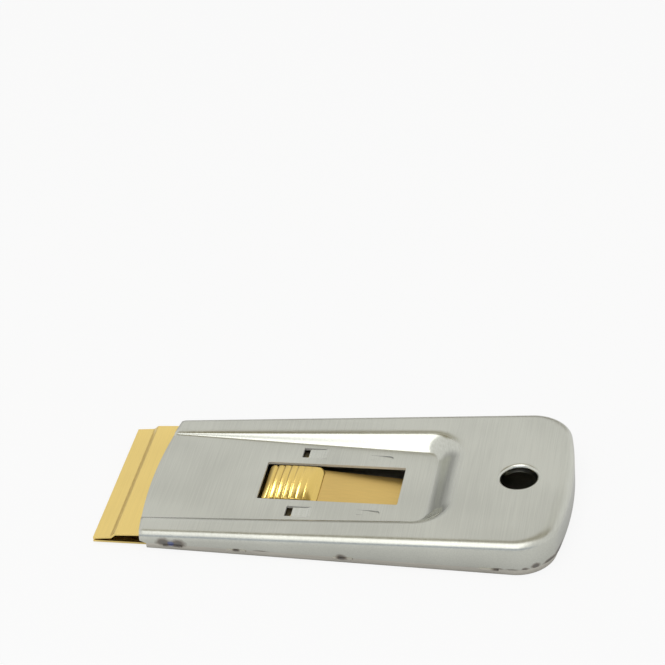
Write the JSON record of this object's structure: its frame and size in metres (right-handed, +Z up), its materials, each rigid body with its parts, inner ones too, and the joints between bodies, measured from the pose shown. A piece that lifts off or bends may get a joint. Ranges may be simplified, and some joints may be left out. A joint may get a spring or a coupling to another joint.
{
  "type": "razor blade scraper",
  "caption": "Pressed steel pocket scraper with a wedge handle, sunk thumb panel and a brass-coloured sliding carrier for single-edge razor blades.",
  "frame": {"origin": "middle of the bounding box on the back plate's lower face, with the carrier run out", "axes": "+Y towards the blade end, +X to the right seen from above, +Z up out of the thumb panel"},
  "size_m": [0.0464, 0.1006, 0.0087],
  "materials": {
    "shell_steel": "satin stainless, brushed across the width",
    "plate_steel": "satin stainless",
    "weld_steel": "heat-stained weld",
    "carrier_brass": "satin brass plate",
    "spring_brass": "bright brass plate on the hump, dull on the tail",
    "rivet_brass": "satin brass"
  },
  "bodies": {
    "handle": {"top_shell": "shell_steel", "back_plate": "plate_steel", "weld_tacks": "weld_steel"},
    "blade_slide": {"carrier_base": "carrier_brass", "blade_lip": "carrier_brass", "lip_rivets": "rivet_brass", "spring_rivets": "rivet_brass"},
    "thumb_leaf": {"thumb_spring": "spring_brass"}
  },
  "joints": [
    {"name": "carrier_slide", "type": "slide", "parent": "handle", "child": "blade_slide", "axis": [0, 1, 0], "range_m": [-0.0171, 0]},
    {"name": "thumb_press", "type": "hinge", "parent": "blade_slide", "child": "thumb_leaf", "pos_m": [0, -0.0156, 0.00135], "axis": [-1, 0, 0], "range_deg": [0, 1.7], "stiffness_Nm_per_rad": 3.2}
  ]
}
